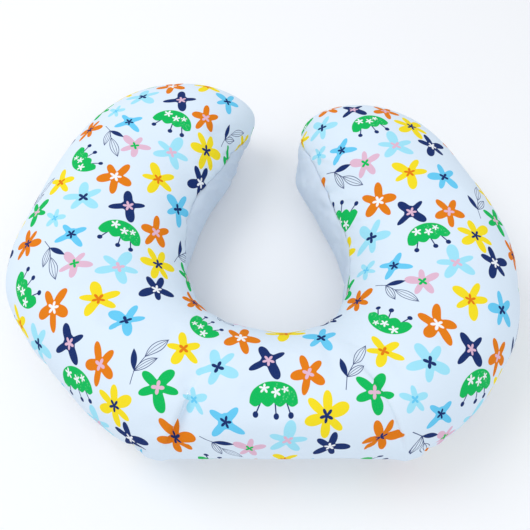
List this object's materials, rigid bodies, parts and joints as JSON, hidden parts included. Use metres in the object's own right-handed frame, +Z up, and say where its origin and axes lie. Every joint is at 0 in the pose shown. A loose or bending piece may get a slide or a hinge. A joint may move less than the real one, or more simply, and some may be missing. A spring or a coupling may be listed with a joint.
{
  "type": "nursing pillow",
  "caption": "U-shaped stuffed nursing pillow in a removable cotton cover, printed on top and plain underneath, with a short zip in the outer back seam.",
  "frame": {"origin": "centre of the footprint, on the surface that the pillow rests on", "axes": "+X across both arms, +Y out of the open side of the U, +Z up through the thickness"},
  "size_m": [0.5608, 0.453, 0.138],
  "materials": {
    "printed_cotton": "plain-weave cotton with a printed flower pattern",
    "plain_cotton": "plain-weave white cotton",
    "sewing_thread": "twisted polyester thread",
    "case_cloth": "plain lining cloth",
    "polyester_fibre": "lofted hollow fibre",
    "zip_tape": "woven herringbone tape",
    "zip_plastic": "moulded, satin",
    "slider_metal": "white enamel"
  },
  "bodies": {
    "pillow": {"cover_top_panel": "printed_cotton", "cover_bottom_panel": "plain_cotton", "cover_seam_thread": "sewing_thread", "inner_case_top_panel": "case_cloth", "inner_case_bottom_panel": "case_cloth", "inner_case_seam_thread": "sewing_thread", "inner_case_closing_stitches": "sewing_thread", "fibre_fill": "polyester_fibre", "zip_upper_tape": "zip_tape", "zip_lower_tape": "zip_tape", "zip_upper_teeth": "zip_plastic", "zip_lower_teeth": "zip_plastic", "zip_upper_stitching": "sewing_thread", "zip_lower_stitching": "sewing_thread", "zip_top_stops": "zip_plastic", "zip_bottom_stop": "zip_plastic"},
    "zip_slider": {"zip_slider_body": "slider_metal", "zip_slider_bridge": "slider_metal"},
    "zip_pull": {"zip_pull_tab": "slider_metal"}
  },
  "joints": [
    {"name": "zip_slider_travel", "type": "slide", "parent": "pillow", "child": "zip_slider", "axis": [-1, 0, 0], "range_m": [0, 0.172]},
    {"name": "zip_pull_swing", "type": "hinge", "parent": "zip_slider", "child": "zip_pull", "pos_m": [0.10534, -0.21758, 0.02473], "axis": [0, -0.458, 0.8889], "range_deg": [0, 175]}
  ]
}
